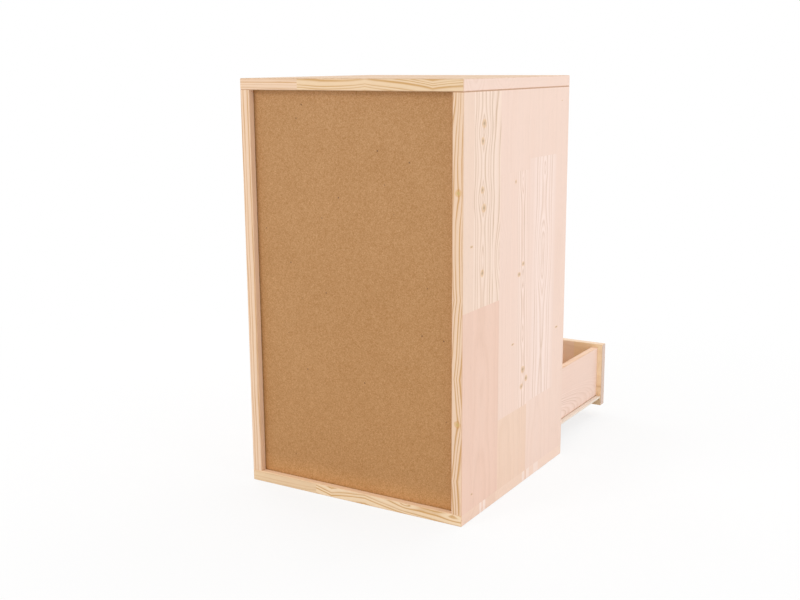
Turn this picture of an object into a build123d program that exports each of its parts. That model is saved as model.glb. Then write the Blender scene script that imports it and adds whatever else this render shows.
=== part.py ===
from build123d import *
import os
from math import sqrt

# A pine chest with five inset drawers on roller slides, in millimetres, +Z up. The origin is the middle
# of the case's footprint on the floor. The drawer fronts face -Y and the thin back panel is at +Y.
# Left and right are as seen from the front. Drawers count from the top. The bottom one stands open.

# Case boards
CASE_WIDTH = 400.0
CASE_DEPTH = 380.0
CASE_HEIGHT = 670.0
BOARD = 18.0
CASE_EASE = 1.0

# Hardboard back, standing in grooves
BACK_THICKNESS = 3.0
BACK_RECESS = 12.0
BACK_TONGUE = 5.0
GROOVE_END_PLAY = 1.0
GROOVE_REAR_PLAY = 1.5

# Loose tongues, glued into stopped grooves in the four corner joints
TONGUE_THICKNESS = 4.0
TONGUE_IN_BOARD = 9.0
TONGUE_IN_SIDE = 14.0
TONGUE_STOP = 30.0
TONGUE_PLAY = 0.1

# Drawer fronts
DRAWERS = 5
FRONT_GAP = 2.0
FRONT_SETBACK = 0.5
FRONT_THICKNESS = 16.0
FRONT_EASE = 1.0

# Drawer boxes
BOX_DROP = 6.5
SIDE_THICKNESS = 12.0
REAR_THICKNESS = 12.0
REAR_INSET = 8.0
BOX_EASE = 0.6
HOUSING = 5.0
GLUE_LINE = 0.1
BOTTOM_THICKNESS = 3.0
BOTTOM_RISE = 8.0
BOTTOM_TONGUE = 5.0
BOTTOM_PLAY = 0.2

# Square flared knobs
KNOB_WIDTH = 30.0
KNOB_BASE = 19.0
KNOB_LENGTH = 24.0
KNOB_RIM = 6.0
KNOB_EASE = 1.5

# Roller slides: sheet, clearances and rollers
RUNNER_SPACE = 12.5
STEEL = 1.2
RUNNER_REACH = 8.5
RUNNER_SHY = 1.0
RUNNER_LIP = 3.4
RUNNING_GAP = 0.3
ROLLER_DIAMETER = 16.0
FRONT_ROLLER_LIFT = 0.8
ROLLER_SIDE_PLAY = 0.6
AXLE_DIAMETER = 5.0
AXLE_PLAY = 0.05
AXLE_END_PLAY = 0.15
REAR_TAB = 6.0
NOTCH_PLAY = 1.5

# Roller slides: the fixed rails
RAIL_LIFT = 1.5
RAIL_SHY = 0.8
ROOF_SHY = 3.5
ROOF_TRIM = 32.0
RAIL_FRONT_GAP = 2.0
RAIL_REAR_GAP = 1.0
FRONT_AXLE_INSET = 10.0
SLIDE_OVERLAP = 81.5
STOP_RISE = 4.0

# One overrun for all cuts that leave a face
OVERRUN = 2.0

# Limits of the case
case_left = -CASE_WIDTH / 2
case_front = -CASE_DEPTH / 2
case_rear = CASE_DEPTH / 2
inner_left = case_left + BOARD
inner_bottom = BOARD
inner_top = CASE_HEIGHT - BOARD
back_rear = case_rear - BACK_RECESS
back_front = back_rear - BACK_THICKNESS
groove_depth = BACK_TONGUE + GROOVE_END_PLAY
groove_y = (back_front, back_rear + GROOVE_REAR_PLAY)

# Limits of a shut drawer, and heights measured from the lower edge of its sides
front_half_width = -inner_left - FRONT_GAP
front_height = (inner_top - inner_bottom - FRONT_GAP) / DRAWERS - FRONT_GAP
front_face = case_front + FRONT_SETBACK
front_back = front_face + FRONT_THICKNESS
box_left = inner_left + RUNNER_SPACE
box_inner_left = box_left + SIDE_THICKNESS
roller_radius = ROLLER_DIAMETER / 2
front_roller_radius = (ROLLER_DIAMETER - STEEL - FRONT_ROLLER_LIFT) / 2
roof_under = RUNNING_GAP
rail_floor = roof_under - ROLLER_DIAMETER - 2 * RUNNING_GAP
rear_axle_height = rail_floor + RUNNING_GAP + roller_radius
front_axle_height = -STEEL - RUNNING_GAP - front_roller_radius
box_rise = STEEL - rail_floor + RAIL_LIFT
box_height = front_height - box_rise - BOX_DROP
bottom_groove = (BOTTOM_RISE, BOTTOM_RISE + BOTTOM_THICKNESS + BOTTOM_PLAY)

# Places along the slides, with the drawer shut
rail_front = front_back + RAIL_FRONT_GAP
rail_rear = back_front - RAIL_REAR_GAP
travel = rail_rear - rail_front - SLIDE_OVERLAP
rear_axle_y = rail_rear - STEEL - RUNNING_GAP - roller_radius
front_axle_y = rail_front + FRONT_AXLE_INSET
box_rear = rear_axle_y + REAR_TAB
stop_drop = roller_radius + RUNNING_GAP - STOP_RISE
stop_y = rear_axle_y - travel - sqrt(roller_radius**2 - stop_drop**2) - RUNNING_GAP
rear_board_y = (box_rear - REAR_INSET - REAR_THICKNESS, box_rear - REAR_INSET)

# Places across the left slide
lip_left = box_left - RUNNER_REACH
roller_left = lip_left + STEEL + ROLLER_SIDE_PLAY
roller_right = box_left - ROLLER_SIDE_PLAY
axle_radius = AXLE_DIAMETER / 2


def block(x_limits, y_limits, z_limits):
    """A plain block between its low and high limits along X, Y and Z."""
    limits = (x_limits, y_limits, z_limits)
    size = [high - low for low, high in limits]
    middle = [(low + high) / 2 for low, high in limits]
    return Pos(*middle) * Box(*size)


def planed_board(x_limits, y_limits, z_limits, ease):
    """A planed board with all its arrises eased."""
    plain = block(x_limits, y_limits, z_limits)
    return chamfer(plain.edges(), ease)


def sharp_ended_board(x_limits, y_limits, z_limits, ease):
    """A planed board that keeps sharp arrises at the two ends of its top, where other boards meet it flush."""
    plain = block(x_limits, y_limits, z_limits)
    sharp = plain.edges().filter_by(Axis.Y).group_by(Axis.Z)[-1]
    return chamfer([edge for edge in plain.edges() if edge not in sharp], ease)


def mirrored_limits(low):
    """Limits that lie evenly about the middle plane of the chest."""
    return (low, -low)


def round_bar(radius, x_limits, y, z):
    """A round bar along X."""
    low, high = x_limits
    return Pos((low + high) / 2, y, z) * Rot(Y=90) * Cylinder(radius, high - low)


def rolled_strip(points, y_limits):
    """Sheet steel: a closed X and Z profile carried along Y."""
    low, high = y_limits
    outline = make_face(Polyline(*points, close=True))
    return extrude(Plane.XZ.offset(-high) * outline, amount=high - low, dir=-Axis.Y.direction)


def right_hand(piece):
    """The right-hand twin of a left-hand piece."""
    return mirror(piece, about=Plane.YZ)


# Case


def tongue(play):
    """The bottom left tongue, or with some play all round, the grooves that it stands in."""
    middle = case_left + BOARD / 2
    reach = TONGUE_THICKNESS / 2 + play
    y_limits = (case_front + TONGUE_STOP - play, case_rear - TONGUE_STOP + play)
    z_limits = (inner_bottom - TONGUE_IN_BOARD - play, inner_bottom + TONGUE_IN_SIDE + play)
    return block((middle - reach, middle + reach), y_limits, z_limits)


def four_corners(piece):
    """A bottom left piece, repeated at the four corner joints of the case."""
    upper = mirror(piece, about=Plane.XY.offset(CASE_HEIGHT / 2))
    return [piece, right_hand(piece), upper, right_hand(upper)]


def grooved_for_tongues(board):
    """A case board with the stopped grooves of the tongues that reach into it."""
    for groove in four_corners(tongue(TONGUE_PLAY)):
        board -= groove
    return board


def flat_board(planed, z_limits, groove_z):
    """The top or bottom board, planed in the given way, with the stopped groove for the back panel."""
    board = planed(mirrored_limits(case_left), (case_front, case_rear), z_limits, CASE_EASE)
    board -= block(mirrored_limits(inner_left - groove_depth), groove_y, groove_z)
    return grooved_for_tongues(board)


def case_side():
    """The left side board, sawn square at its ends, with the groove for the back panel down its inner face."""
    z_limits = (inner_bottom, inner_top)
    plain = block((case_left, inner_left), (case_front, case_rear), z_limits)
    board = chamfer(plain.edges().filter_by(Axis.Z), CASE_EASE)
    groove_x = (inner_left - groove_depth, inner_left + OVERRUN)
    board -= block(groove_x, groove_y, (inner_bottom - OVERRUN, inner_top + OVERRUN))
    return grooved_for_tongues(board)


def back_panel():
    """The hardboard sheet, its four edges standing in the grooves."""
    z_limits = (inner_bottom - BACK_TONGUE, inner_top + BACK_TONGUE)
    return block(mirrored_limits(inner_left - BACK_TONGUE), (back_front, back_rear), z_limits)


# Slides


def rail(height):
    """The left fixed rail: a channel with its end closed, a bent-up stop for the rear roller, and the
    front roller's axle on a pressed boss."""
    floor = height + rail_floor
    roof = height + roof_under
    axle_height = height + front_axle_height
    floor_edge = box_left - RAIL_SHY
    roof_edge = box_left - ROOF_SHY
    web = inner_left + STEEL
    points = [
        (inner_left, floor - STEEL),
        (floor_edge, floor - STEEL),
        (floor_edge, floor),
        (web, floor),
        (web, roof),
        (roof_edge, roof),
        (roof_edge, roof + STEEL),
        (inner_left, roof + STEEL),
    ]
    channel = rolled_strip(points, (rail_front, rail_rear))
    trim_y = (rail_front - OVERRUN, rail_front + ROOF_TRIM)
    channel -= block((web, box_left), trim_y, (roof - RUNNING_GAP, roof + STEEL + OVERRUN))
    channel += block((inner_left, floor_edge), (rail_rear - STEEL, rail_rear), (floor - STEEL, roof + STEEL))
    channel += block((inner_left, floor_edge), (stop_y - STEEL, stop_y), (floor - STEEL, floor + STOP_RISE))
    boss_half = -front_axle_height - RUNNER_LIP - 2 * RUNNING_GAP
    boss_end = roller_left - AXLE_END_PLAY
    boss_y = (front_axle_y - boss_half, front_axle_y + boss_half)
    channel += block((inner_left, boss_end), boss_y, (axle_height - boss_half, axle_height + boss_half))
    return channel + round_bar(axle_radius, (boss_end, roller_right), front_axle_y, axle_height)


def runner(height):
    """The left drawer runner: a flat flange under the drawer side with a lip, and the rear roller's axle."""
    seat_edge = box_inner_left - RUNNER_SHY
    under = height - STEEL
    points = [
        (lip_left, height),
        (seat_edge, height),
        (seat_edge, under),
        (lip_left + STEEL, under),
        (lip_left + STEEL, height - RUNNER_LIP),
        (lip_left, height - RUNNER_LIP),
    ]
    strip = rolled_strip(points, (front_back + RUNNING_GAP, box_rear))
    notch_y = (rear_axle_y - roller_radius - NOTCH_PLAY, box_rear + OVERRUN)
    strip -= block((lip_left - OVERRUN, box_left), notch_y, (height - RUNNER_LIP - OVERRUN, height + OVERRUN))
    axle_height = height + rear_axle_height
    tab_y = (rear_axle_y - REAR_TAB, box_rear)
    strip += block((box_left, box_left + STEEL), tab_y, (axle_height - REAR_TAB, under))
    return strip + round_bar(axle_radius, (roller_left, box_left), rear_axle_y, axle_height)


def roller(radius, y, z):
    """A left plastic roller, bored for its axle."""
    wheel = round_bar(radius, (roller_left, roller_right), y, z)
    return wheel - round_bar(axle_radius + AXLE_PLAY, (roller_left, roller_right), y, z)


def roller_pair(radius, y, z):
    """The left and right rollers that share one axis."""
    left = roller(radius, y, z)
    return [left, right_hand(left)]


# Drawers


def drawer_front(foot):
    """An inset front, housed behind for the sides and grooved for the bottom."""
    edge = front_half_width
    front = planed_board((-edge, edge), (front_face, front_back), (foot, foot + front_height), FRONT_EASE)
    low = foot + box_rise
    cut_y = (front_back - HOUSING, front_back + OVERRUN)
    housing_x = (box_left - GLUE_LINE, box_inner_left + GLUE_LINE)
    housing = block(housing_x, cut_y, (low - GLUE_LINE, low + box_height + GLUE_LINE))
    front -= housing
    front -= right_hand(housing)
    groove_z = (low + bottom_groove[0], low + bottom_groove[1])
    return front - block(mirrored_limits(box_inner_left - GLUE_LINE), cut_y, groove_z)


def drawer_side(foot):
    """The left drawer side, let into the front, grooved for the bottom and housed for the rear board."""
    low = foot + box_rise
    high = low + box_height
    y_limits = (front_back - HOUSING + GLUE_LINE, box_rear)
    side = planed_board((box_left, box_inner_left), y_limits, (low, high), BOX_EASE)
    groove_x = (box_inner_left - BOTTOM_TONGUE - BOTTOM_PLAY, box_inner_left + OVERRUN)
    groove_y_limits = (y_limits[0] - OVERRUN, box_rear + OVERRUN)
    side -= block(groove_x, groove_y_limits, (low + bottom_groove[0], low + bottom_groove[1]))
    housing_x = (box_inner_left - HOUSING, box_inner_left + OVERRUN)
    housing_y = (rear_board_y[0] - GLUE_LINE, rear_board_y[1] + GLUE_LINE)
    return side - block(housing_x, housing_y, (low + bottom_groove[1], high + OVERRUN))


def drawer_rear(foot):
    """The rear board, standing on the bottom between the sides."""
    low = foot + box_rise
    x_limits = mirrored_limits(box_inner_left - HOUSING + GLUE_LINE)
    z_limits = (low + bottom_groove[1], low + box_height)
    return planed_board(x_limits, rear_board_y, z_limits, BOX_EASE)


def drawer_bottom(foot):
    """The thin bottom, slid along the grooves from behind and under the rear board."""
    low = foot + box_rise + BOTTOM_RISE
    x_limits = mirrored_limits(box_inner_left - BOTTOM_TONGUE)
    y_limits = (front_back - HOUSING + BOTTOM_PLAY, rear_board_y[1])
    return block(x_limits, y_limits, (low, low + BOTTOM_THICKNESS))


def knob(foot):
    """A square knob, sawn to one flared profile both ways, with its straight rim eased at the face."""
    base = KNOB_BASE / 2
    rim = KNOB_WIDTH / 2
    half_profile = [
        (base, 0),
        (rim, KNOB_LENGTH - KNOB_RIM),
        (rim, KNOB_LENGTH - KNOB_EASE),
        (rim - KNOB_EASE, KNOB_LENGTH),
    ]
    other_half = [(-x, y) for x, y in reversed(half_profile)]
    outline = make_face(Polyline(*half_profile, *other_half, close=True))
    blank = Rot(X=90) * extrude(outline, amount=rim, both=True)
    shaped = blank & (Rot(Z=90) * blank)
    return Pos(0, front_face, foot + front_height / 2) * Rot(X=90) * shaped


def drawer_pieces(foot):
    """All pieces of one shut drawer whose front starts at the given height, by their short names."""
    low = foot + box_rise
    left_side = drawer_side(foot)
    left_runner = runner(low)
    return {
        "front": [drawer_front(foot)],
        "left_side": [left_side],
        "right_side": [right_hand(left_side)],
        "back": [drawer_rear(foot)],
        "bottom": [drawer_bottom(foot)],
        "knob": [knob(foot)],
        "left_runner": [left_runner],
        "right_runner": [right_hand(left_runner)],
        "rear_rollers": roller_pair(roller_radius, rear_axle_y, low + rear_axle_height),
    }


def front_foot(number):
    """Height of the lower edge of a numbered drawer's front."""
    drawers_below = DRAWERS - number
    return inner_bottom + FRONT_GAP + drawers_below * (front_height + FRONT_GAP)


# The whole chest, as named groups of solids
top_groove = (inner_top - OVERRUN, inner_top + groove_depth)
bottom_board_groove = (inner_bottom - groove_depth, inner_bottom + OVERRUN)
left_board = case_side()
left_rails = [rail(front_foot(number) + box_rise) for number in range(1, DRAWERS + 1)]
chest = {
    "top_board": [flat_board(planed_board, (inner_top, CASE_HEIGHT), top_groove)],
    "bottom_board": [flat_board(sharp_ended_board, (0, inner_bottom), bottom_board_groove)],
    "left_side": [left_board],
    "right_side": [right_hand(left_board)],
    "back_panel": [back_panel()],
    "case_tongues": four_corners(tongue(0)),
    "left_rails": left_rails,
    "right_rails": [right_hand(fixed_rail) for fixed_rail in left_rails],
}
for number in range(1, DRAWERS + 1):
    foot = front_foot(number)
    pulled_out = travel if number == DRAWERS else 0
    for name, solids in drawer_pieces(foot).items():
        chest[f"drawer_{number}_{name}"] = [Pos(0, -pulled_out, 0) * solid for solid in solids]
    roller_height = foot + box_rise + front_axle_height
    chest[f"drawer_{number}_front_rollers"] = roller_pair(front_roller_radius, front_axle_y, roller_height)

os.makedirs("parts", exist_ok=True)
for name, solids in chest.items():
    node = solids[0] if len(solids) == 1 else Compound(children=solids)
    export_step(node, f"parts/{name}.step")
print(f"drawer travel {travel:.3f} mm, rollers {roller_radius:.3f} and {front_roller_radius:.3f} mm")
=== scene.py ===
from collections import namedtuple

import bpy
import numpy as np
from mathutils import Matrix, Vector


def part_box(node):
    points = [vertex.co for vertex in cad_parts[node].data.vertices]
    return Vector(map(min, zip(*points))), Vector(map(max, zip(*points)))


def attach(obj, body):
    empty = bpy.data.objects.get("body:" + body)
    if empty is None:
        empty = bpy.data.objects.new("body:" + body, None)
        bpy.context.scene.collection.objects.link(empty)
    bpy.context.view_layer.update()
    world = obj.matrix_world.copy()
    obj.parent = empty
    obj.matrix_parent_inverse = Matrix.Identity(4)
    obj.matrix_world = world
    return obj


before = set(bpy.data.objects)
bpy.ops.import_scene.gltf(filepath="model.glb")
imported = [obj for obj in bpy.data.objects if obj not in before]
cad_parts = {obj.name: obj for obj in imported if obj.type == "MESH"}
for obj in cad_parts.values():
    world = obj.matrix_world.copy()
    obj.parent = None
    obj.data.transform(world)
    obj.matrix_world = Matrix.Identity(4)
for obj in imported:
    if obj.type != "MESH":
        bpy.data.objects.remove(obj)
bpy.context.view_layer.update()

# Left side of the case. A pine board 18 mm thick, edge-glued from staves that are butted together from shorter
# sticks, then planed, sanded and left bare. It stands on the bottom board, glued on a hidden loose tongue, and
# the back panel slides in a groove down its inner face.

MILLIMETRES = 1000.0
NOISE_MIDDLE = 0.5
UNTINTED = (1.0, 1.0, 1.0)


def wire(tree, kind, inputs, output=0, **settings):
    """Adds one node to a tree, feeds its inputs with values or sockets, and returns one of its outputs."""
    node = tree.nodes.new("ShaderNode" + kind)
    for name, value in settings.items():
        setattr(node, name, value)
    for name, value in inputs.items():
        if isinstance(value, bpy.types.NodeSocket):
            tree.links.new(value, node.inputs[name])
        else:
            node.inputs[name].default_value = value
    return node.outputs[output] if len(node.outputs) else None


def calc(tree, operation, *values):
    """One sum on numbers."""
    return wire(tree, "Math", dict(enumerate(values)), operation=operation)


def calc3(tree, operation, *values):
    """One sum on vectors or colours."""
    return wire(tree, "VectorMath", dict(enumerate(values)), operation=operation)


def scaled(tree, vector, factor):
    """A vector or colour times a number."""
    return wire(tree, "VectorMath", {"Vector": vector, "Scale": factor}, operation="SCALE")


def length_of(tree, vector):
    """The length of a vector."""
    return wire(tree, "VectorMath", {0: vector}, output="Value", operation="LENGTH")


def blend3(tree, share, first, second):
    """A vector or colour that goes from the first to the second as the share goes from 0 to 1."""
    return wire(tree, "Mix", {0: share, 4: first, 5: second}, output=1, data_type="VECTOR")


def ranged(tree, value, start, end, low=0.0, high=1.0, kind="LINEAR"):
    """A number that goes from low to high as the value goes from start to end, and stays there beyond."""
    return wire(tree, "MapRange", {"Value": value, "From Min": start, "From Max": end, "To Min": low,
                                   "To Max": high}, interpolation_type=kind)


def axes_of(tree, vector):
    """The three parts of a vector."""
    split = wire(tree, "SeparateXYZ", {"Vector": vector}).node
    return split.outputs[0], split.outputs[1], split.outputs[2]


def noise(tree, place, pitches, detail=2.0, output=0):
    """Cloudy noise from 0 to 1 whose lumps are about as long, in millimetres, as the pitches along each axis."""
    stretched = calc3(tree, "DIVIDE", place, pitches)
    return wire(tree, "TexNoise", {"Vector": stretched, "Scale": 1.0, "Detail": detail}, output=output)


def swing(tree, place, pitches, detail=2.0):
    """The same noise, but from -0.5 to 0.5."""
    return calc(tree, "SUBTRACT", noise(tree, place, pitches, detail), NOISE_MIDDLE)


def strayed(tree, place, cloud_place, pitches, reach):
    """A place moved along all three axes by the noise at another place, up to half the reach each way."""
    cloud = noise(tree, cloud_place, pitches, detail=1.0, output=1)
    stray = calc3(tree, "SUBTRACT", cloud, (NOISE_MIDDLE, NOISE_MIDDLE, NOISE_MIDDLE))
    return calc3(tree, "ADD", place, scaled(tree, stray, reach))


def steps(tree, place, limits, choices):
    """A vector that steps from one choice to the next as the place passes each limit."""
    chosen = choices[0]
    for limit, choice in zip(limits, choices[1:]):
        chosen = blend3(tree, calc(tree, "GREATER_THAN", place, limit), chosen, choice)
    return chosen


def curve_of(tree, place, points):
    """A number read from a line through the given points of place and height."""
    ramp = wire(tree, "ValToRGB", {"Fac": place}).node
    stops = ramp.color_ramp.elements
    while len(stops) < len(points):
        stops.new(1.0)
    for stop, (at, height) in zip(stops, points):
        stop.position = at
        stop.color = (height, height, height, 1.0)
    return ramp.outputs[0]


def new_material(name):
    """An empty material, and its tree."""
    material = bpy.data.materials.new(name)
    material.use_nodes = True
    material.node_tree.nodes.clear()
    return material, material.node_tree


def object_place(tree):
    """The place on the piece in millimetres, in the frame of the whole chest."""
    return scaled(tree, wire(tree, "TexCoord", {}, output="Object"), MILLIMETRES)


def surface(tree, colour, roughness, height, **constants):
    """Closes a material: its colour, its roughness and a relief whose height is in millimetres."""
    relief = wire(tree, "Bump", {"Height": height, "Distance": 1.0 / MILLIMETRES, "Strength": 1.0})
    inputs = {"Base Color": colour, "Roughness": roughness, "Normal": relief}
    inputs.update({name.replace("_", " "): value for name, value in constants.items()})
    wire(tree, "OutputMaterial", {"Surface": wire(tree, "BsdfPrincipled", inputs)})


def dress(material, *names):
    """Gives the named nodes of the frame a finish."""
    for name in names:
        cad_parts[name].material_slots[0].material = material


# One stick of wood, in millimetres. end: how far it reaches along the board. heart: where the middle of its tree
# stood, across and through the board. ring: a year's growth. lean: drift of the heart per millimetre of length.
# spread: how far to each side of the heart the lines stay strong. figure, edge: how strong on the faces and on
# the narrow edges. wander: how far they stray.
Stick = namedtuple("Stick", "end heart ring lean spread figure edge wander tone")

CREAM = (0.885, 0.680, 0.555)
BLUSH = (0.905, 0.695, 0.592)
PALE = (0.912, 0.715, 0.622)
ROSE = (0.868, 0.618, 0.500)
HONEY = (0.885, 0.658, 0.520)


def build_pine():
    """The wood as a node group. A point's distance from the heart of its tree, bent by slow noise, over the
    width of a year's growth counts the rings, and a little noise of the count makes good and bad years. The
    fraction of the count darkens slowly to a thin late-wood line and drops back to the palest wood. Swells
    added to the count make the rings flow round knots."""
    wander_pitches, ripple_pitches, fade_pitches = (70.0, 40.0, 150.0), (14.0, 14.0, 45.0), (9.0, 9.0, 80.0)
    ripple_rings, season_rings, season_pitch = 0.26, 1.1, 1.7
    year_curve = [(0.0, 0.55), (0.07, 0.12), (0.16, 0.0), (0.50, 0.02), (0.74, 0.28), (0.90, 1.0), (1.0, 0.55)]
    pale_curve = [(0.0, 0.2), (0.10, 0.6), (0.25, 1.0), (0.50, 0.6), (0.80, 0.2), (1.0, 0.2)]
    year_shares, fade_noise, fade_shares = (0.60, 1.25), (0.3, 0.7), (0.55, 1.20)
    near_share, gone_share, far_figure, end_figure = 0.6, 1.3, 0.10, 0.2
    late_tint, late_edge_tint = (0.75, 0.68, 0.57), (0.74, 0.57, 0.34)
    pale_tint, pale_gain, edge_tint = (1.07, 1.12, 1.17), 1.6, (1.015, 0.968, 0.855)
    fibre_pitches, fibre_share = (0.6, 0.6, 30.0), 0.055
    streak_pitches, streak_share = (5.0, 5.0, 240.0), 0.045
    cloud_pitches, cloud_tints = (50.0, 30.0, 170.0), ((1.008, 0.988, 0.975), (0.994, 1.008, 1.018))
    canal_pitches, canal_noise, canal_share = (0.7, 0.7, 11.0), (0.70, 0.80), 0.07
    knot_colour, knot_ring_colour, edge_knot_colour = (0.58, 0.42, 0.28), (0.46, 0.31, 0.18), (0.66, 0.46, 0.17)
    knot_rings = [(0.0, 0.0), (0.12, 0.0), (0.3, 1.0), (0.45, 0.15), (0.65, 0.5), (1.0, 0.1)]
    halo_rings = [(0.0, 0.0), (0.12, 1.0), (0.35, 0.6), (1.0, 0.6)]
    halo_tint, knot_limits = (0.93, 0.82, 0.62), (0.12, 0.75)
    arris_tint = (0.84, 0.75, 0.63)
    shuffle, across_and_through = (5.3, 3.7, 11.9), (1.0, 1.0, 0.0)
    rough_early, rough_late = 0.72, 0.58
    line_relief, fibre_relief = 0.020, 0.010

    group = bpy.data.node_groups.new("bare_pine", "ShaderNodeTree")
    sockets = {"Place": "Vector", "Heart": "Vector", "Lean": "Vector", "Grain": "Vector", "Tone": "Vector",
               "Swell": "Float", "Knot": "Float", "Edge": "Float", "End": "Float", "Arris": "Float"}
    for name, kind in sockets.items():
        group.interface.new_socket(name, in_out="INPUT", socket_type="NodeSocket" + kind)
    for name, kind in {"Colour": "Color", "Roughness": "Float", "Height": "Float"}.items():
        group.interface.new_socket(name, in_out="OUTPUT", socket_type="NodeSocket" + kind)
    given = group.nodes.new("NodeGroupInput").outputs
    made = group.nodes.new("NodeGroupOutput").inputs
    place, heart = given["Place"], given["Heart"]
    spread, figure, wander = axes_of(group, given["Grain"])
    lean_across, lean_through, edge_figure = axes_of(group, given["Lean"])
    ring = axes_of(group, heart)[2]
    along = axes_of(group, place)[2]
    own = calc3(group, "ADD", place, calc3(group, "MULTIPLY", heart, shuffle))

    bent = strayed(group, place, own, wander_pitches, wander)
    lean = wire(group, "CombineXYZ", {0: lean_across, 1: lean_through})
    centre = calc3(group, "ADD", heart, scaled(group, lean, along))
    from_heart = calc3(group, "MULTIPLY", calc3(group, "SUBTRACT", bent, centre), across_and_through)
    rings = calc(group, "ADD", calc(group, "DIVIDE", length_of(group, from_heart), ring), given["Swell"])
    rings = calc(group, "MULTIPLY_ADD", swing(group, own, ripple_pitches, detail=1.0), ripple_rings, rings)
    season = wire(group, "TexNoise", {"W": rings, "Scale": 1.0 / season_pitch, "Detail": 0.0},
                  noise_dimensions="1D")
    rings = calc(group, "MULTIPLY_ADD", calc(group, "SUBTRACT", season, NOISE_MIDDLE), season_rings, rings)
    fraction = calc(group, "FRACT", rings)
    year = curve_of(group, fraction, year_curve)
    luck = wire(group, "TexWhiteNoise", {"W": calc(group, "FLOOR", rings)}, noise_dimensions="1D")
    strength = ranged(group, luck, 0.0, 1.0, *year_shares)
    fade = ranged(group, noise(group, own, fade_pitches, detail=1.0), *fade_noise, *fade_shares)

    aside = calc(group, "ABSOLUTE", axes_of(group, from_heart)[0])
    nearness = ranged(group, aside, calc(group, "MULTIPLY", spread, near_share),
                      calc(group, "MULTIPLY", spread, gone_share), 1.0, far_figure, "SMOOTHSTEP")
    face_figure = calc(group, "MULTIPLY", nearness, figure)
    face_figure = calc(group, "MULTIPLY", face_figure, ranged(group, given["End"], 0.0, 1.0, 1.0, end_figure))
    shown = wire(group, "Mix", {0: given["Edge"], 2: face_figure, 3: edge_figure})
    line = calc(group, "MULTIPLY", calc(group, "MULTIPLY", year, strength), calc(group, "MULTIPLY", fade, shown))
    line = wire(group, "Clamp", {"Value": line})

    early = calc3(group, "MULTIPLY", given["Tone"], blend3(group, given["Edge"], UNTINTED, edge_tint))
    early = calc3(group, "MULTIPLY", early, blend3(group, noise(group, own, cloud_pitches), *cloud_tints))
    pale = wire(group, "Clamp", {"Value": calc(group, "MULTIPLY", face_figure, pale_gain)})
    pale = calc(group, "MULTIPLY", pale, curve_of(group, fraction, pale_curve))
    early = calc3(group, "MULTIPLY", early, blend3(group, pale, UNTINTED, pale_tint))
    late = calc3(group, "MULTIPLY", early, blend3(group, given["Edge"], late_tint, late_edge_tint))
    wood = blend3(group, line, early, late)
    fibre = swing(group, own, fibre_pitches)
    canal = ranged(group, noise(group, own, canal_pitches, detail=0.0), *canal_noise)
    shade = calc(group, "MULTIPLY_ADD", fibre, fibre_share, 1.0)
    shade = calc(group, "MULTIPLY_ADD", swing(group, own, streak_pitches), streak_share, shade)
    shade = calc(group, "MULTIPLY_ADD", canal, -canal_share, shade)
    wood = scaled(group, wood, shade)
    halo = blend3(group, curve_of(group, given["Knot"], halo_rings), UNTINTED, halo_tint)
    wood = calc3(group, "MULTIPLY", wood, halo)
    wood = calc3(group, "MULTIPLY", wood, blend3(group, given["Arris"], UNTINTED, arris_tint))
    knot = blend3(group, curve_of(group, given["Knot"], knot_rings), knot_colour, knot_ring_colour)
    knot = blend3(group, given["Edge"], knot, edge_knot_colour)
    is_knot = ranged(group, given["Knot"], *knot_limits)
    group.links.new(blend3(group, is_knot, wood, knot), made["Colour"])
    group.links.new(ranged(group, line, 0.0, 1.0, rough_early, rough_late), made["Roughness"])
    height = calc(group, "MULTIPLY", line, line_relief)
    group.links.new(calc(group, "MULTIPLY_ADD", fibre, fibre_relief, height), made["Height"])
    return group


pine = build_pine()

# DEEP is a limit or half size that no place on the chest reaches. SKIN is the thickness of a first or last stave
# that only the narrow edge of a board shows.
DEEP = 1.0e6
SKIN = 0.3


def round_spot(tree, place, middle, halves):
    """A spot that is 1 in its middle and falls to 0 at its half sizes across, through and along the board."""
    local = wire(tree, "Mapping", {"Vector": place, "Location": middle, "Scale": halves}, vector_type="TEXTURE")
    return wire(tree, "TexGradient", {"Vector": local}, output=1, gradient_type="QUADRATIC_SPHERE")


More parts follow.
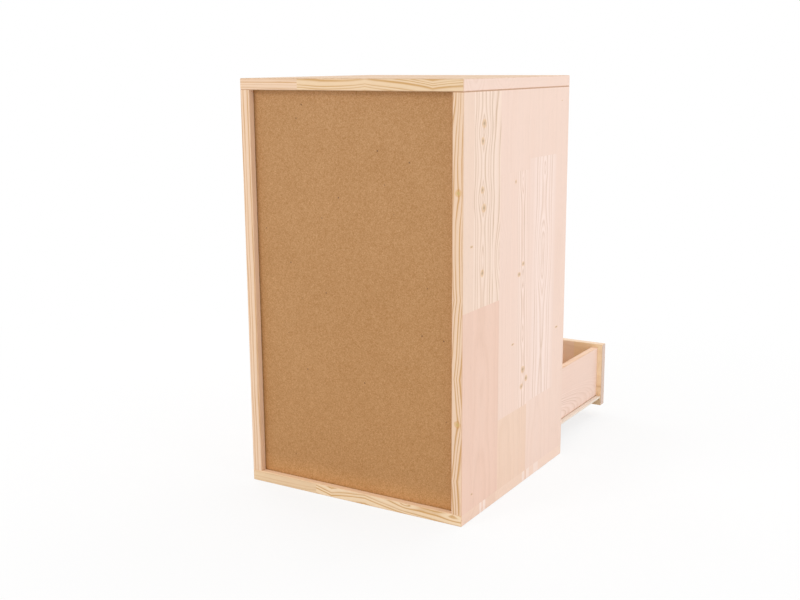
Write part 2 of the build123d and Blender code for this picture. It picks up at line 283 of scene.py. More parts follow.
def dress_in_pine(name, directions, staves, swells=(), knots=(), ends=((DEEP, BLUSH),),
                  eased=("all", "all", "all")):
    """Dresses a node as a glued-up board. directions: the axes across, through and along it, with - where places
    count from the high end. staves: the far edge of each stave, and its sticks. swells: middle, half sizes and
    rings of each place where the rings bulge. knots: middle and half sizes of each knot. ends: the far edge and
    the tone of each part of its sawn ends. eased: whether all, the first or none of the two faces that look along
    each direction have rubbed arrises."""
    knot_wobble_pitches, knot_wobble = (5.0, 5.0, 5.0), 2.4
    arris_reach, rub_pitches, rub_noise, rub_shares = 1.9, (9.0, 9.0, 30.0), (0.3, 0.65), (0.25, 1.0)
    gloss = 0.25
    material, tree = new_material(name + "_pine")
    low, high = np.array(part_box(name)) * MILLIMETRES
    coordinates = axes_of(tree, object_place(tree))
    normal = axes_of(tree, wire(tree, "TexCoord", {}, output="Normal"))
    parts, facing, depths = [], [], []
    for (sign, axis), rubbed in zip(directions, eased):
        number = "XYZ".index(axis)
        start = (coordinates[number], low[number]) if sign == "+" else (high[number], coordinates[number])
        part = calc(tree, "SUBTRACT", *start)
        parts.append(part)
        facing.append(calc(tree, "ABSOLUTE", normal[number]))
        if rubbed == "all":
            other_part = calc(tree, "SUBTRACT", high[number] - low[number], part)
            depths.append(calc(tree, "MINIMUM", part, other_part))
        elif rubbed == "first":
            depths.append(part)
        else:
            depths.append(DEEP)
    place = wire(tree, "CombineXYZ", dict(enumerate(parts)))
    across, _, along = parts

    def chosen(value):
        """One property of the stick at this place."""
        columns = []
        for _, sticks in staves:
            stick_ends = [stick.end for stick in sticks]
            columns.append(steps(tree, along, stick_ends, [value(stick) for stick in sticks]))
        return steps(tree, across, [edge for edge, _ in staves], columns)

    swell = 0.0
    for middle, halves, ring_count in swells:
        swell = calc(tree, "MULTIPLY_ADD", round_spot(tree, place, middle, halves), ring_count, swell)
    knot = 0.0
    if knots:
        wobbled = strayed(tree, place, place, knot_wobble_pitches, knot_wobble)
        for middle, halves in knots:
            knot = calc(tree, "MAXIMUM", knot, round_spot(tree, wobbled, middle, halves))

    # The arris is near where the middle one of the three depths under the faces is small.
    outer = calc(tree, "MAXIMUM", calc(tree, "MAXIMUM", depths[0], depths[1]), depths[2])
    inner = calc(tree, "MINIMUM", calc(tree, "MINIMUM", depths[0], depths[1]), depths[2])
    every = calc(tree, "ADD", calc(tree, "ADD", depths[0], depths[1]), depths[2])
    from_arris = calc(tree, "SUBTRACT", calc(tree, "SUBTRACT", every, outer), inner)
    rub = ranged(tree, noise(tree, place, rub_pitches), *rub_noise, *rub_shares)
    arris = calc(tree, "MULTIPLY", ranged(tree, from_arris, 0.0, arris_reach, 1.0, 0.0), rub)

    end_tone = steps(tree, across, [edge for edge, _ in ends], [tone for _, tone in ends])
    given = {
        "Place": place,
        "Heart": chosen(lambda stick: (stick.heart[0], stick.heart[1], stick.ring)),
        "Lean": chosen(lambda stick: (stick.lean[0], stick.lean[1], stick.edge)),
        "Grain": chosen(lambda stick: (stick.spread, stick.figure, stick.wander)),
        "Tone": blend3(tree, facing[2], chosen(lambda stick: stick.tone), end_tone),
        "Swell": swell,
        "Knot": knot,
        "Edge": facing[0],
        "End": facing[2],
        "Arris": arris,
    }
    wood = wire(tree, "Group", given, node_tree=pine).node.outputs
    surface(tree, wood["Colour"], wood["Roughness"], wood["Height"], Specular_IOR_Level=gloss)
    dress(material, name)


def plain_stick(end, across, tone, figure=0.06, edge=0.45, ring=4.0):
    """A stick whose rings lie nearly flat under its face, so that only its edges show lines."""
    heart_depth, heart_drift, spread, wander = -170.0, 0.012, 60.0, 6.0
    return Stick(end, (across, heart_depth), ring, (0.0, heart_drift), spread, figure, edge, wander, tone)


# The staves count from the rear edge and their sticks from the top, as the photograph shows them. The rear edge
# itself shows one long stick, and a dark line of painted shade follows the joint under the top board.
# The dark brown below is painted shade, for thin lines drawn where a seam lies in shadow.
SEAM_SHADE = (0.56, 0.33, 0.20)
seam_shade_width = 1.0
side_height, case_depth = 634.0, 380.0
left_staves = [
    (SKIN, [
        Stick(side_height, (10.0, -60.0), 5.8, (0.0, 0.020), 60.0, 0.05, 1.5, 9.0, CREAM),
    ]),
    (34.0, [
        plain_stick(321.0, 10.0, CREAM),
        plain_stick(side_height, 10.0, ROSE),
    ]),
    (95.0, [
        Stick(321.0, (63.0, -3.0), 9.5, (0.0, 0.0), 120.0, 0.82, 0.5, 6.0, CREAM),
        plain_stick(side_height, 60.0, ROSE, 0.16),
    ]),
    (121.0, [
        Stick(321.0, (63.0, -3.0), 13.0, (0.0, 0.0), 120.0, 0.95, 0.5, 6.0, CREAM),
        plain_stick(side_height, 60.0, ROSE, 0.16),
    ]),
    (228.0, [
        plain_stick(127.0, 190.0, BLUSH),
        Stick(517.0, (196.5, -2.5), 8.5, (0.035, 0.0), 20.0, 0.90, 0.5, 5.0, BLUSH),
        plain_stick(side_height, 150.0, HONEY, 0.14),
    ]),
    (332.0, [
        plain_stick(110.0, 300.0, BLUSH),
        Stick(514.0, (288.0, -4.0), 11.5, (-0.012, 0.0), 38.0, 0.62, 0.5, 8.0, PALE),
        plain_stick(side_height, 270.0, BLUSH, 0.12),
    ]),
    (case_depth, [
        plain_stick(side_height, 350.0, BLUSH),
    ]),
]
left_swells = [
    ((63.0, 9.0, 59.0), (60.0, DEEP, 46.0), -1.5), ((63.0, 9.0, 157.0), (60.0, DEEP, 46.0), -1.5),
    ((63.0, 9.0, 250.0), (30.0, DEEP, 58.0), -1.0), ((116.0, 9.0, 0.0), (60.0, DEEP, 120.0), -1.4),
    ((132.0, 9.0, 250.0), (48.0, DEEP, 76.0), 4.2), ((201.0, 9.0, 140.0), (36.0, DEEP, 48.0), -1.15),
    ((206.0, 9.0, 302.0), (20.0, DEEP, 42.0), -0.9), ((209.0, 9.0, 392.0), (20.0, DEEP, 46.0), -0.9),
    ((212.0, 9.0, 468.0), (22.0, DEEP, 34.0), -0.9), ((287.0, 9.0, 130.0), (20.0, DEEP, 34.0), -0.8),
    ((287.0, 9.0, 248.0), (60.0, DEEP, 70.0), -1.7), ((281.0, 9.0, 300.0), (60.0, DEEP, 80.0), -1.7),
    ((283.0, 9.0, 440.0), (30.0, DEEP, 90.0), 0.6),
    ((0.0, 18.0, 0.0), (4.0, 30.0, 80.0), 1.8), ((0.0, 6.0, 150.0), (4.0, 16.0, 60.0), 0.9),
    ((0.0, 9.0, 300.0), (4.0, DEEP, 70.0), 0.8), ((0.0, 9.0, 420.0), (4.0, DEEP, 60.0), -0.7),
    ((0.0, 6.0, 490.0), (4.0, 16.0, 60.0), 0.9), ((0.0, 9.0, 580.0), (4.0, DEEP, 70.0), -0.8),
]
left_knots = [
    ((65.0, 0.0, 47.0), (9.0, DEEP, 8.5)), ((61.0, 0.0, 72.0), (7.0, DEEP, 7.5)),
    ((61.0, 0.0, 144.0), (7.0, DEEP, 7.0)), ((66.0, 0.0, 171.0), (9.0, DEEP, 8.5)),
    ((62.0, 0.0, 269.0), (7.0, DEEP, 7.5)), ((192.0, 0.0, 292.0), (7.5, DEEP, 5.0)),
    ((207.0, 0.0, 277.0), (5.5, DEEP, 5.5)), ((212.0, 0.0, 454.0), (9.0, DEEP, 7.5)),
    ((225.0, 0.0, 472.0), (7.0, DEEP, 6.5)), ((207.0, 0.0, 482.0), (7.0, DEEP, 5.5)),
    ((175.0, 0.0, 142.0), (4.0, DEEP, 4.0)), ((27.0, 0.0, 224.0), (6.5, DEEP, 2.6)),
    ((172.0, 0.0, 403.0), (6.5, DEEP, 2.6)), ((347.0, 0.0, 410.0), (7.5, DEEP, 2.6)),
    ((33.0, 0.0, 610.0), (4.5, DEEP, 2.2)), ((350.0, 0.0, 23.0), (3.0, DEEP, 1.4)),
    ((0.0, 8.0, 143.0), (9.0, 7.0, 7.5)), ((0.0, 8.0, 490.0), (9.0, 7.0, 7.5)),
]
# Each stave's first millimetre under the top board is painted shade of the joint.
left_staves = [(edge, [plain_stick(seam_shade_width, 0.0, SEAM_SHADE)] + sticks) for edge, sticks in left_staves]
dress_in_pine("left_side", ("-Y", "+X", "-Z"), left_staves, left_swells, left_knots, eased=("all", "all", "none"))

# Right side of the case. The left side's twin, glued up from other staves of the same bare pine and grooved and
# tongued in the same way.


def mixed_staves(seed, width, length, tones, stave_width=96.0, figured_share=0.45):
    """Staves of a board that no photograph shows: drawn by lot, but always the same for one seed."""
    butt_shares, heart_shifts, edges = (0.25, 0.75), (-25.0, 25.0), (0.5, 0.9)
    leans, heart_depths, figured_rings = (-0.03, 0.03), (-14.0, -3.0), (8.0, 12.0)
    spreads, figures, figured_wander = (20.0, 45.0), (0.50, 0.80), 7.0
    plain_figures, plain_rings = (0.05, 0.12), (3.4, 5.6)
    lot = np.random.default_rng(seed)
    count = max(1, round(width / stave_width))
    staves = []
    for number in range(count):
        middle = width * (number + 0.5) / count
        sticks = []
        for end in (length * lot.uniform(*butt_shares), length):
            tone = tones[lot.integers(len(tones))]
            across = middle + lot.uniform(*heart_shifts)
            edge = lot.uniform(*edges)
            if lot.uniform() < figured_share:
                lean = (lot.uniform(*leans), lot.uniform(*leans))
                heart = (across, lot.uniform(*heart_depths))
                ring = lot.uniform(*figured_rings)
                spread = lot.uniform(*spreads)
                figure = lot.uniform(*figures)
                sticks.append(Stick(end, heart, ring, lean, spread, figure, edge, figured_wander, tone))
            else:
                figure = lot.uniform(*plain_figures)
                ring = lot.uniform(*plain_rings)
                sticks.append(plain_stick(end, across, tone, figure, edge, ring))
        staves.append((width * (number + 1) / count, sticks))
    return staves


right_lot = 4
# The right side's rear 30 mm has a darker amber tone: painted shade and bounced light of the back recess.
right_rear_shade_tone = (0.835, 0.595, 0.415)
right_staves = [
    (SKIN, [Stick(side_height, (10.0, -70.0), 6.0, (0.0, 0.008), 60.0, 0.05, 1.4, 6.0, CREAM)]),
    (30.0, [plain_stick(side_height, 10.0, right_rear_shade_tone)]),
]
right_staves += mixed_staves(right_lot, case_depth, side_height, (CREAM, BLUSH, HONEY))
dress_in_pine("right_side", ("-Y", "-X", "-Z"), right_staves, eased=("all", "all", "none"))

# Fixed rails. Five a side, folded from steel sheet 1.2 mm thick to a channel with a closed rear end, a bent-up
# stop and a stub axle, powder-coated off-white, and screwed to the case sides through the web.


def steel_material(name, track_limits, track_faces):
    """Coated steel: a fine orange-peel relief, faint clouding, lengthwise scuffs, and between the limits of the
    track, on faces that look up (1) or down (-1), the dull grey line that the rollers wear."""
    coat, scuffed, worn = (0.880, 0.775, 0.670), (0.80, 0.71, 0.61), (0.66, 0.60, 0.54)
    peel_pitches, cloud_pitches, scuff_pitches = (0.9, 0.9, 0.9), (25.0, 60.0, 25.0), (0.8, 45.0, 0.8)
    scuff_noise, track_fade, up_limits = (0.60, 0.72), 0.8, (0.6, 0.9)
    cloud_shade, peel_relief = 0.06, 0.006
    rough_coat, rough_worn, gloss = 0.50, 0.34, 0.18
    material, tree = new_material(name)
    place = object_place(tree)
    up = calc(tree, "MULTIPLY", axes_of(tree, wire(tree, "TexCoord", {}, output="Normal"))[2], track_faces)
    scuff = ranged(tree, noise(tree, place, scuff_pitches), *scuff_noise)
    aside = calc(tree, "ABSOLUTE", axes_of(tree, place)[0])
    start, end = track_limits
    track = calc(tree, "MULTIPLY", ranged(tree, aside, start, start + track_fade),
                 ranged(tree, aside, end - track_fade, end, 1.0, 0.0))
    track = calc(tree, "MULTIPLY", track, ranged(tree, up, *up_limits))
    track = calc(tree, "MULTIPLY", track, noise(tree, place, scuff_pitches, detail=1.0))
    cloud = calc(tree, "MULTIPLY_ADD", swing(tree, place, cloud_pitches), cloud_shade, 1.0)
    colour = blend3(tree, scuff, scaled(tree, coat, cloud), scuffed)
    colour = blend3(tree, track, colour, worn)
    roughness = ranged(tree, calc(tree, "MAXIMUM", track, scuff), 0.0, 1.0, rough_coat, rough_worn)
    height = calc(tree, "MULTIPLY", noise(tree, place, peel_pitches, detail=1.0), peel_relief)
    surface(tree, colour, roughness, height, Specular_IOR_Level=gloss)
    return material


rail_track, looking_up = (169.5, 176.8), 1.0
dress(steel_material("rail_steel", rail_track, looking_up), "left_rails", "right_rails")

# Rail screws. Zinc-plated steel pan heads with a driver's cross, cold-headed and plated, three through the web of
# each rail into the case side.


def zinc_material():
    """Zinc plate: bright metal with a patchy bluish and yellowish bloom and fine scratches."""
    bright, bloom = (0.70, 0.70, 0.68), (0.60, 0.57, 0.50)
    bloom_pitches, scratch_pitches, scratch_noise = (1.6, 1.6, 1.6), (0.15, 1.4, 0.3), (0.3, 0.7)
    rough_low, rough_high, scratch_relief = 0.26, 0.46, 0.004
    material, tree = new_material("zinc_plate")
    place = object_place(tree)
    patch = noise(tree, place, bloom_pitches)
    scratch = noise(tree, place, scratch_pitches, detail=1.0)
    roughness = ranged(tree, scratch, *scratch_noise, rough_low, rough_high)
    height = calc(tree, "MULTIPLY", scratch, scratch_relief)
    surface(tree, blend3(tree, patch, bright, bloom), roughness, height, Metallic=1.0)
    return material


def screw_heads(name, seats, outward, body):
    """Pan heads as one piece, on polar grids. Height over radius is a flattened dome on a short rim, closed by a
    pole at its top and one in its seat; it sinks to the depth of the driver's cross where the place lies within
    half an arm's width of either arm."""
    sectors, radius, rim, crown = 48, 3.2, 0.45, 1.5
    arm_half, arm_fade, arm_reach, cross_depth = 0.40, 0.14, 1.75, 0.85
    first_row, cross_end, cross_rows = 0.18, 2.1, 13
    rim_start, rim_rows, seat_share = 2.35, 7, 0.98
    dome_power, dome_root = 3.0, 0.6
    cross_radii = np.linspace(first_row, cross_end, cross_rows)
    dome = np.concatenate([cross_radii, np.linspace(rim_start, radius, rim_rows)])
    rise = rim + (crown - rim) * (1.0 - (dome / radius)**dome_power)**dome_root
    radii = np.append(dome, seat_share * radius)[:, None]
    heights = np.append(rise, 0.0)[:, None]
    angles = np.linspace(0.0, 2.0 * np.pi, sectors, endpoint=False)[None, :]
    flat_x, flat_y = radii * np.cos(angles), radii * np.sin(angles)
    from_arm = np.minimum(np.abs(flat_x), np.abs(flat_y))
    in_arm = np.clip((arm_half + arm_fade - from_arm) / arm_fade, 0.0, 1.0)
    in_reach = np.clip((arm_reach + arm_fade - radii) / arm_fade, 0.0, 1.0)
    out = heights - cross_depth * in_arm * in_reach
    poles = np.array([(0.0, 0.0, crown - cross_depth), (0.0, 0.0, 0.0)])
    local = np.concatenate([np.stack([flat_x, flat_y, out], axis=2).reshape(-1, 3), poles])

    axis = np.array(outward, float)
    first = np.roll(axis, 1)
    second = np.cross(axis, first)
    head = local @ np.array([first, second, axis])
    seats = np.array(seats, float)
    points = (seats[:, None, :] + head[None, :, :]).reshape(-1, 3) / MILLIMETRES

    rows = len(radii)
    ring, sector = np.meshgrid(np.arange(rows - 1), np.arange(sectors), indexing="ij")
    after = (sector + 1) % sectors
    upper, lower = ring * sectors, (ring + 1) * sectors
    quads = np.stack([upper + sector, lower + sector, lower + after, upper + after], axis=2).reshape(-1, 4)
    turn = np.arange(sectors)
    turn_after = (turn + 1) % sectors
    top_pole, seat_pole, last_row = rows * sectors, rows * sectors + 1, (rows - 1) * sectors
    cap = np.stack([np.full(sectors, top_pole), turn, turn_after], axis=1)
    foot = np.stack([np.full(sectors, seat_pole), last_row + turn_after, last_row + turn], axis=1)
    faces = []
    for number in range(len(seats)):
        shift = number * len(local)
        faces += (quads + shift).tolist() + (cap + shift).tolist() + (foot + shift).tolist()
    mesh = bpy.data.meshes.new(name)
    mesh.from_pydata(points.tolist(), [], faces)
    mesh.shade_smooth()
    mesh.materials.append(zinc)
    piece = bpy.data.objects.new(name, mesh)
    bpy.context.scene.collection.objects.link(piece)
    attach(piece, body)


zinc = zinc_material()
DRAWERS = range(1, 6)
STEEL = 1.2
side_inner_face, screw_drop, rail_screw_y = 182.0, 9.0, (-138.0, 20.0, 150.0)
web_face = side_inner_face - STEEL
drawer_lows = {number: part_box(f"drawer_{number}_left_side")[0][2] * MILLIMETRES for number in DRAWERS}
rail_screw_places = [(y, drawer_lows[number] - screw_drop) for number in DRAWERS for y in rail_screw_y]
screw_heads("left_rail_screws", [(-web_face, y, z) for y, z in rail_screw_places], (1, 0, 0), "case")
screw_heads("right_rail_screws", [(web_face, y, z) for y, z in rail_screw_places], (-1, 0, 0), "case")

# Front rollers. Nylon wheels, injection-moulded, one a side for each drawer, that turn on the rails' stub axles
# and carry the drawer's runners.


def roller_material(name):
    """Moulded nylon: circles left by the mould on the faces, fine lines round the tread and grey rub marks. The
    relief is a sine of the distance from the axle plus a sine of the place along it."""
    nylon, rubbed = (0.80, 0.775, 0.715), (0.62, 0.585, 0.53)
    circle_pitch, circle_relief, from_axle = 0.55, 0.02, (0.0, 1.0, 1.0)
    rub_pitches, rub_noise = (1.8, 1.8, 1.8), (0.52, 0.80)
    rough_low, rough_high, glow_through = 0.34, 0.52, 0.05
    low, high = np.array(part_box(name)) * MILLIMETRES
    middle = (low + high) / 2
    material, tree = new_material(name + "_nylon")
    place = object_place(tree)
    flat = calc3(tree, "MULTIPLY", calc3(tree, "SUBTRACT", place, tuple(middle)), from_axle)
    rub = ranged(tree, noise(tree, place, rub_pitches, detail=3.0), *rub_noise)
    circle_turns = 2.0 * np.pi / circle_pitch
    circles = calc(tree, "SINE", calc(tree, "MULTIPLY", length_of(tree, flat), circle_turns))
    tread = calc(tree, "SINE", calc(tree, "MULTIPLY", axes_of(tree, place)[0], circle_turns))
    height = calc(tree, "MULTIPLY", calc(tree, "ADD", circles, tread), circle_relief)
    surface(tree, blend3(tree, rub, nylon, rubbed), ranged(tree, rub, 0.0, 1.0, rough_low, rough_high), height,
            Subsurface_Weight=glow_through)
    dress(material, name)


for number in DRAWERS:
    roller_material(f"drawer_{number}_front_rollers")

# Bottom board of the case. Bare pine 18 mm thick, its grain from side to side, grooved for the back panel and
# glued under the two sides on loose tongues.

STRAW = (0.870, 0.680, 0.500)
bottom_lot = 9
case_width = 400.0
# The stave that reaches 14 mm from the rear edge is paler: painted light on the ledge behind the back panel.
bottom_flame_tone, bottom_ledge_light_tone = (0.915, 0.732, 0.555), (0.960, 0.705, 0.480)
bottom_staves = [
    (SKIN, [
        plain_stick(130.0, 48.0, STRAW, 0.05, 0.40, 6.0),
        Stick(case_width, (-6.0, 36.0), 6.6, (0.01, -0.060), 40.0, 0.50, 1.8, 8.0, bottom_flame_tone),
    ]),
    (14.0, [plain_stick(case_width, 8.0, bottom_ledge_light_tone)]),
]
bottom_staves += mixed_staves(bottom_lot, case_depth, case_width, (CREAM, HONEY))
bottom_swells = [
    ((0.0, 9.0, 160.0), (40.0, DEEP, 60.0), -1.2), ((0.0, 9.0, 225.0), (40.0, DEEP, 90.0), 0.9),
    ((0.0, 18.0, 300.0), (40.0, 22.0, 34.0), -0.9), ((0.0, 18.0, 385.0), (40.0, 22.0, 34.0), -0.9),
]
tan_end, honey_end = (0.885, 0.655, 0.525), (0.917, 0.700, 0.568)
white_end, pink_end = (0.955, 0.780, 0.695), (0.930, 0.722, 0.607)
bottom_ends = [(60.0, tan_end), (67.0, white_end), (71.0, tan_end), (80.0, white_end), (116.0, tan_end),
               (216.0, honey_end), (226.0, white_end), (232.0, tan_end), (244.0, white_end), (262.0, pink_end),
               (280.0, white_end), (DEEP, pink_end)]
dress_in_pine("bottom_board", ("-Y", "+Z", "-X"), bottom_staves, bottom_swells, ends=bottom_ends,
              eased=("all", "first", "all"))

# Loose tongues. Strips of birch plywood 4 mm thick, glued into stopped grooves in the four corner joints, where
# they don't show.


def plywood_material():
    """Three plies: the middle one's fibres run across the outer ones', so that it shows darker at the edges."""
    outer_ply, core_ply, ply_half = (0.80, 0.66, 0.47), (0.62, 0.47, 0.30), 0.7
    tongue_middle, fibre_pitches, core_pitches = 191.0, (0.6, 24.0, 0.6), (0.6, 0.6, 18.0)
    fibre_share, roughness, relief = 0.22, 0.70, 0.02
    material, tree = new_material("tongue_plywood")
    place = object_place(tree)
    from_middle = calc(tree, "SUBTRACT", calc(tree, "ABSOLUTE", axes_of(tree, place)[0]), tongue_middle)
    in_core = calc(tree, "LESS_THAN", calc(tree, "ABSOLUTE", from_middle), ply_half)
    fibre = wire(tree, "Mix", {0: in_core, 2: swing(tree, place, fibre_pitches),
                               3: swing(tree, place, core_pitches)})
    shade = calc(tree, "MULTIPLY_ADD", fibre, fibre_share, 1.0)
    colour = scaled(tree, blend3(tree, in_core, outer_ply, core_ply), shade)
    surface(tree, colour, roughness, calc(tree, "MULTIPLY", fibre, relief))
    return material


dress(plywood_material(), "case_tongues")

# Back panel. Hardboard: wood fibres wet-felted and pressed to a brown sheet 3 mm thick. It is slid into the
# grooves of the four case boards, without glue, before the top goes on.


def hardboard_material():
    """Felted fibres: three sizes of noise mix a dark and a light brown, with sparse dark specks of bark. The
    board is a little warmer towards its foot, and painted light, as if bounced from below, brightens its lowest
    part."""
    dark, light, even_share = (0.318, 0.128, 0.016), (0.692, 0.404, 0.200), 0.5
    felt_pitches, clump_pitches, cloud_pitches = (1.5, 1.5, 1.5), (3.4, 3.4, 3.4), (70.0, 70.0, 70.0)
    felt_share, clump_share, cloud_share = 1.05, 0.42, 0.14
    speck_cell, speck_limits, speck_colour = 28.0, (0.030, 0.060), (0.20, 0.095, 0.04)
    foot_tint, foot_limits = (0.99, 0.965, 0.885), (60.0, 620.0)
    # The next line sets painted light: a brightening over the lowest 55 mm, as if bounced from below.
    bounce_light_limits, painted_bounce = (20.0, 55.0), 1.18
    felt_limits, rough_low, rough_high = (-0.2, 0.2), 0.50, 0.66
    felt_relief, gloss = 0.03, 0.3
    material, tree = new_material("hardboard")
    place = object_place(tree)
    felt = swing(tree, place, felt_pitches, detail=3.0)
    share = calc(tree, "MULTIPLY_ADD", felt, felt_share, even_share)
    share = calc(tree, "MULTIPLY_ADD", swing(tree, place, clump_pitches), clump_share, share)
    share = calc(tree, "MULTIPLY_ADD", swing(tree, place, cloud_pitches), cloud_share, share)
    board = blend3(tree, share, dark, light)
    up = axes_of(tree, place)[2]
    warmth_and_bounce = blend3(tree, ranged(tree, up, *foot_limits), foot_tint, UNTINTED)
    # Painted bounce light: up to 18 % brighter between 20 and 55 mm up, fading above.
    warmth_and_bounce = scaled(tree, warmth_and_bounce, ranged(tree, up, *bounce_light_limits, painted_bounce, 1.0, "SMOOTHSTEP"))
    board = calc3(tree, "MULTIPLY", board, warmth_and_bounce)
    cells = wire(tree, "TexVoronoi", {"Vector": scaled(tree, place, 1.0 / speck_cell), "Scale": 1.0})
    colour = blend3(tree, ranged(tree, cells, *speck_limits, 1.0, 0.0), board, speck_colour)
    surface(tree, colour, ranged(tree, felt, *felt_limits, rough_high, rough_low),
            calc(tree, "MULTIPLY", felt, felt_relief), Specular_IOR_Level=gloss)
    return material


hardboard = hardboard_material()
dress(hardboard, "back_panel")

# Top board of the case. Bare pine 18 mm thick, its grain from side to side, grooved for the back panel and glued
# over the two sides on loose tongues.

top_lot = 7
# The top board's staves have darker tones than the other boards: painted shade, for less light from above.
top_shaded_tones = ((0.735, 0.530, 0.372), (0.715, 0.510, 0.352))
top_staves = [(SKIN, [
    plain_stick(111.0, 48.0, CREAM, 0.05, 0.9, 3.6),
    Stick(case_width, (48.0, -120.0), 4.8, (0.0, 0.03), 60.0, 0.10, 1.5, 10.0, STRAW),
])]
top_staves += mixed_staves(top_lot, case_depth, case_width, top_shaded_tones)
top_swells = [
    ((0.0, 9.0, 235.0), (40.0, DEEP, 80.0), 1.1), ((0.0, 9.0, 350.0), (40.0, DEEP, 60.0), -1.2),
]
dress_in_pine("top_board", ("-Y", "-Z", "-X"), top_staves, top_swells)

# Drawer sides. Bare pine boards 12 mm thick, planed, with a groove for the bottom and a housing for the back.
# Their front ends are glued into housings in the drawer front. The photograph shows the open drawer's left one.

OPEN_DRAWER = 5
side_lots, box_figured = 20, 0.7
# The first number is the width of painted shade along the open drawer's left side, where it sits on its runner.
foot_shade_width, open_side_tone = 1.4, (0.900, 0.678, 0.576)
open_side_figure = [(110.0, 0.20), (165.0, 0.42), (DEEP, 0.80)]
open_side_sticks = [Stick(end, (8.0, -42.0), 3.6, (0.0, 0.17), 40.0, figure, 0.5, 6.0, open_side_tone)
                    for end, figure in open_side_figure]
for number in DRAWERS:
    for side, through in (("left", "+X"), ("right", "-X")):
        node = f"drawer_{number}_{side}_side"
        low, high = np.array(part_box(node)) * MILLIMETRES
        side_staves = mixed_staves(side_lots * number + len(side), high[2] - low[2], high[1] - low[1],
                                   (BLUSH, CREAM, HONEY), figured_share=box_figured)
        if number == OPEN_DRAWER and side == "left":
            # The open drawer's left side starts with a strip of painted shade along its lower edge, over the
            # runner.
            side_staves = [(foot_shade_width, [plain_stick(DEEP, 0.0, SEAM_SHADE)]), (DEEP, open_side_sticks)]
        dress_in_pine(node, ("+Z", through, "+Y"), side_staves)

# Drawer backs. Bare pine boards 12 mm thick with their grain from side to side, glued between the sides in
# housings, standing on the drawer bottom.

back_lots = 31
for number in DRAWERS:
    node = f"drawer_{number}_back"
    low, high = np.array(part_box(node)) * MILLIMETRES
    back_staves = mixed_staves(back_lots * number, high[2] - low[2], high[0] - low[0], (BLUSH, CREAM, STRAW),
                               figured_share=box_figured)
    dress_in_pine(node, ("+Z", "-Y", "+X"), back_staves)

# Drawer bottoms. The same 3 mm hardboard as the back panel, slid into the grooves of the front and sides from
# behind, under the drawer back.

dress(hardboard, *[f"drawer_{number}_bottom" for number in DRAWERS])

# Drawer fronts. Bare pine boards 16 mm thick with their grain from side to side, set in flush between the case
# boards. Housings behind take the sides, and a groove takes the bottom. The photograph shows the open one's rear.

front_lots, front_stave_width, front_figured = 43, 70.0, 0.6
front_tones = [(0.900, 0.665, 0.420), (0.850, 0.600, 0.400)]
front_end, front_edge = (0.720, 0.560, 0.475), (0.900, 0.735, 0.630)
# The open drawer's upper front stave has paler tones: painted light on its inner face, which lies in shade.
open_front_lit_sticks = [
    plain_stick(60.0, 93.0, (0.955, 0.755, 0.505), 0.2),
    plain_stick(DEEP, 93.0, (0.955, 0.755, 0.595), 0.3),
]
front_knot = (2.2, 2.5, 3.0)
open_front_knots = [((95.7, 2.0, 0.0), front_knot), ((25.8, 2.0, 0.0), front_knot)]
for number in DRAWERS:
    node = f"drawer_{number}_front"
    low, high = np.array(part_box(node)) * MILLIMETRES
    height = high[2] - low[2]
    front_staves = mixed_staves(front_lots * number, height, high[0] - low[0], front_tones, front_stave_width,
                                front_figured)
    upper_sticks, front_knots = front_staves[-1][1], []
    if number == OPEN_DRAWER:
        upper_sticks, front_knots = open_front_lit_sticks, open_front_knots
    front_staves[-1] = (height - SKIN, upper_sticks)
    front_staves.append((DEEP, [plain_stick(DEEP, height, front_edge, 0.05, 0.25)]))
    dress_in_pine(node, ("+Z", "+Y", "+X"), front_staves, knots=front_knots, ends=[(DEEP, front_end)])

# Knobs. Square blocks of pine sawn to one flare both ways, with an eased rim, each held to the middle of a drawer
# front by a screw from inside. The photograph doesn't show them.

knob_width = 30.0
knob_staves = [(knob_width, [Stick(knob_width, (15.0, -30.0), 4.2, (0.0, 0.0), 40.0, 0.5, 0.5, 4.0, STRAW)])]
for number in DRAWERS:
    dress_in_pine(f"drawer_{number}_knob", ("+Z", "+Y", "+X"), knob_staves, ends=[(DEEP, STRAW)])
    front_low, front_high = np.array(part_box(f"drawer_{number}_front")) * MILLIMETRES
    screw_seat = (0.0, front_high[1], (front_low[2] + front_high[2]) / 2)
    screw_heads(f"drawer_{number}_knob_screw", [screw_seat], (0, 1, 0), f"drawer_{number}")

# Runners. Steel strip 1.2 mm thick under each drawer side, folded down at its outer edge, powder-coated
# off-white, with a stub axle on a tab at the rear. Screwed up into the lower edge of the drawer side.

runner_track, looking_down = (170.0, 176.4), -1.0
runner_steel = steel_material("runner_steel", runner_track, looking_down)
runner_screw_x, runner_screw_y = (-163.5, 163.5), (30.0, 170.0, 310.0)
for number in DRAWERS:
    dress(runner_steel, f"drawer_{number}_left_runner", f"drawer_{number}_right_runner")
    side_low = np.array(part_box(f"drawer_{number}_left_side")[0]) * MILLIMETRES
    runner_seats = [(x, side_low[1] + from_front, side_low[2] - STEEL)
                    for x in runner_screw_x for from_front in runner_screw_y]
    screw_heads(f"drawer_{number}_runner_screws", runner_seats, (0, 0, -1), f"drawer_{number}")

# Rear rollers. The same moulded nylon wheels as the front ones, on the runners' stub axles; they run inside the
# rails, between floor and roof.

for number in DRAWERS:
    roller_material(f"drawer_{number}_rear_rollers")

# Studio. A pale floor that keeps the chest's shadow near it and fades to the white surround, which only the
# camera and reflections see as white, and wide soft lamps on every side.

bpy.context.scene.view_settings.view_transform = "Standard"
WHITE = (1.0, 1.0, 1.0, 1.0)


def seen_directly(tree):
    """1 for rays from the camera, mirrors and glass, and 0 for the light that falls on things."""
    path = tree.nodes.new("ShaderNodeLightPath").outputs
    mirrored = calc(tree, "MAXIMUM", path["Is Glossy Ray"], path["Is Transmission Ray"])
    return calc(tree, "MAXIMUM", path["Is Camera Ray"], mirrored)


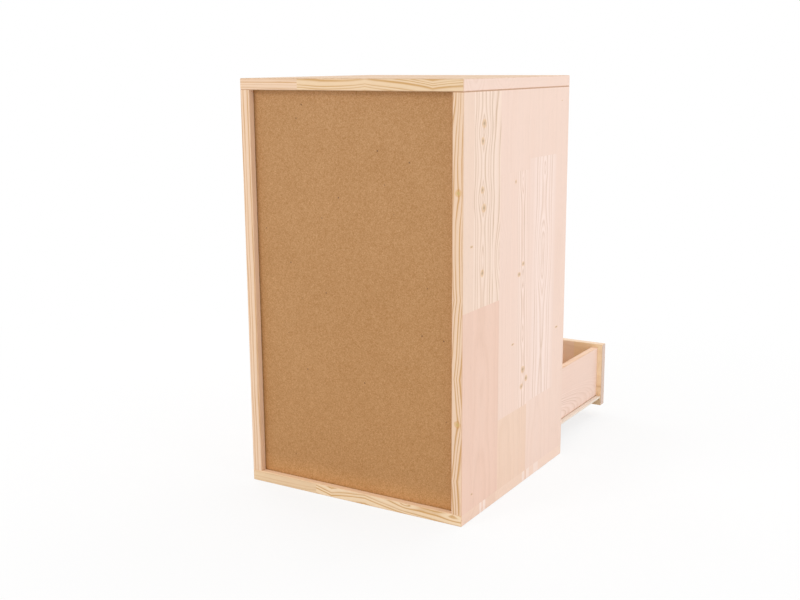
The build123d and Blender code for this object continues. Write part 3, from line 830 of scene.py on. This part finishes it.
floor_half, floor_grey = 12.0, (0.93, 0.93, 0.93, 1.0)
fade_limits, white_shares = (0.45, 1.5), (0.80, 1.0)
floor_mesh = bpy.data.meshes.new("floor")
floor_corners = np.array([(-1, -1, 0), (1, -1, 0), (1, 1, 0), (-1, 1, 0)], float) * floor_half
floor_mesh.from_pydata(floor_corners.tolist(), [], [(0, 1, 2, 3)])
floor = bpy.data.objects.new("floor", floor_mesh)
bpy.context.scene.collection.objects.link(floor)
floor_material, floor_tree = new_material("pale_floor")
from_middle = length_of(floor_tree, wire(floor_tree, "TexCoord", {}, output="Object"))
fading = ranged(floor_tree, from_middle, *fade_limits, *white_shares, "SMOOTHSTEP")
floor_share = calc(floor_tree, "MULTIPLY", seen_directly(floor_tree), fading)
lit = wire(floor_tree, "BsdfDiffuse", {"Color": floor_grey})
white = wire(floor_tree, "Emission", {"Color": WHITE, "Strength": 1.0})
wire(floor_tree, "OutputMaterial", {"Surface": wire(floor_tree, "MixShader", {0: floor_share, 1: lit, 2: white})})
floor_mesh.materials.append(floor_material)

sky_level = 0.70
world = bpy.data.worlds.new("studio")
bpy.context.scene.world = world
world.use_nodes = True
sky = world.node_tree
sky.nodes.clear()
level = ranged(sky, seen_directly(sky), 0.0, 1.0, sky_level, 1.0)
wire(sky, "OutputWorld", {"Surface": wire(sky, "Background", {"Color": WHITE, "Strength": level})})


def soft_lamp(name, place, power, width):
    """A square lamp that shines from its place towards the middle of the chest."""
    aim = (0.0, 0.0, 0.335)
    lamp = bpy.data.lights.new(name, "AREA")
    lamp.size = width
    lamp.energy = power
    holder = bpy.data.objects.new(name, lamp)
    holder.location = place
    holder.rotation_mode = "QUATERNION"
    holder.rotation_quaternion = (Vector(place) - Vector(aim)).to_track_quat("Z", "Y")
    bpy.context.scene.collection.objects.link(holder)


soft_lamp("side_lamp", place=(-2.4, 0.15, 1.0), power=8.6, width=1.8)
soft_lamp("right_lamp", place=(2.0, -1.0, 1.5), power=12.0, width=1.2)
soft_lamp("high_lamp", place=(-1.0, 0.1, 2.3), power=4.5, width=1.0)
soft_lamp("rear_lamp", place=(0.9, 2.2, 2.0), power=16.0, width=0.9)
soft_lamp("front_lamp", place=(-0.7, -2.4, 2.2), power=16.0, width=1.8)

# Camera. It looks at the chest from behind and from its left, as the photograph does. Its place, turn and lens
# are solved from the photographed corners of the case.

camera_place, camera_lens = (-0.94681, 1.59889, 0.69381), 50.307
azimuth, elevation, roll = np.radians((211.205, 12.033, -0.3675))
back = np.array([np.sin(azimuth) * np.cos(elevation), -np.cos(azimuth) * np.cos(elevation), np.sin(elevation)])
level_right = np.cross((0.0, 0.0, 1.0), back)
level_right /= np.linalg.norm(level_right)
level_up = np.cross(back, level_right)
right = np.cos(roll) * level_right + np.sin(roll) * level_up
up = np.cos(roll) * level_up - np.sin(roll) * level_right
camera = bpy.data.objects.new("camera", bpy.data.cameras.new("camera"))
camera.data.lens = camera_lens
turn = Matrix(np.column_stack([right, up, back]).tolist()).to_4x4()
camera.matrix_world = Matrix.Translation(camera_place) @ turn
bpy.context.scene.collection.objects.link(camera)
bpy.context.scene.camera = camera
